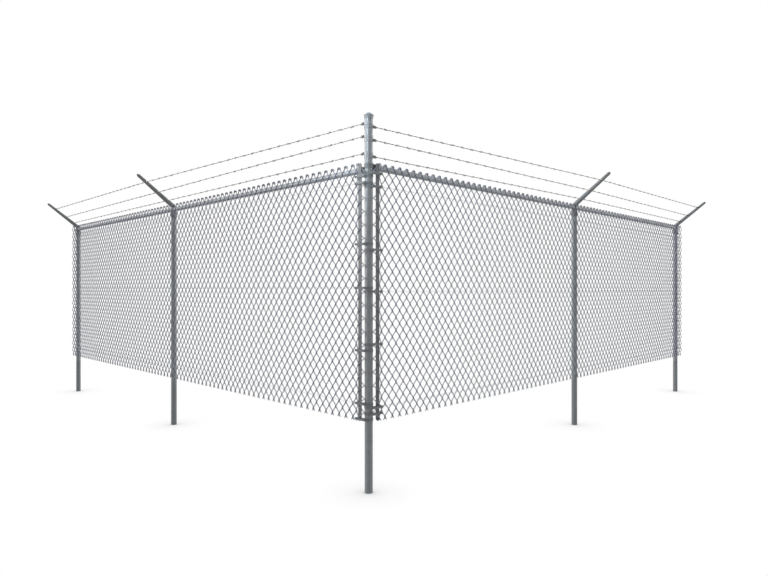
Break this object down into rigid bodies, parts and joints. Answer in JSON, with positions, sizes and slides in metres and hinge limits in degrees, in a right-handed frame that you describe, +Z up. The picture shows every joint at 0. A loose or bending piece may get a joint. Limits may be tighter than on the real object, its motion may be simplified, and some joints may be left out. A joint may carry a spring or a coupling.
{
  "type": "chain link fence panel",
  "caption": "Corner length of a galvanised chain link fence: round posts and top rails, woven wire fabric, tension bars and bands, and outward arms carrying barbed wire.",
  "frame": {"origin": "centre of the corner post's bottom face", "axes": "+Z up along the corner post; +X along the right-hand wall and +Y along the left-hand wall, away from the corner; the outer faces look towards -Y and -X"},
  "size_m": [6.4889, 6.4889, 2.6975],
  "materials": {
    "galvanised_tube": "satin",
    "galvanised_wire": "satin",
    "galvanised_fitting": "satin",
    "cap_casting": "satin"
  },
  "bodies": {
    "root": {"corner_post": "galvanised_tube", "corner_post_cap": "cap_casting", "right_line_post": "galvanised_tube", "right_end_post": "galvanised_tube", "left_line_post": "galvanised_tube", "left_end_post": "galvanised_tube", "right_line_arm": "galvanised_fitting", "right_end_arm": "galvanised_fitting", "left_line_arm": "galvanised_fitting", "left_end_arm": "galvanised_fitting", "right_rail": "galvanised_tube", "left_rail": "galvanised_tube", "right_rail_end": "cap_casting", "left_rail_end": "cap_casting", "right_brace_band": "galvanised_fitting", "left_brace_band": "galvanised_fitting", "right_tension_bar": "galvanised_fitting", "left_tension_bar": "galvanised_fitting", "right_tension_bands": "galvanised_fitting", "left_tension_bands": "galvanised_fitting", "right_band_bolts": "galvanised_fitting", "left_band_bolts": "galvanised_fitting", "right_tension_wires": "galvanised_wire", "left_tension_wires": "galvanised_wire", "right_strand_bands": "galvanised_fitting", "left_strand_bands": "galvanised_fitting", "right_top_strand": "galvanised_wire", "right_middle_strand": "galvanised_wire", "right_low_strand": "galvanised_wire", "left_top_strand": "galvanised_wire", "left_middle_strand": "galvanised_wire", "left_low_strand": "galvanised_wire", "right_fabric_near": "galvanised_wire", "right_fabric_far": "galvanised_wire", "left_fabric_near": "galvanised_wire", "left_fabric_far": "galvanised_wire"}
  },
  "joints": []
}
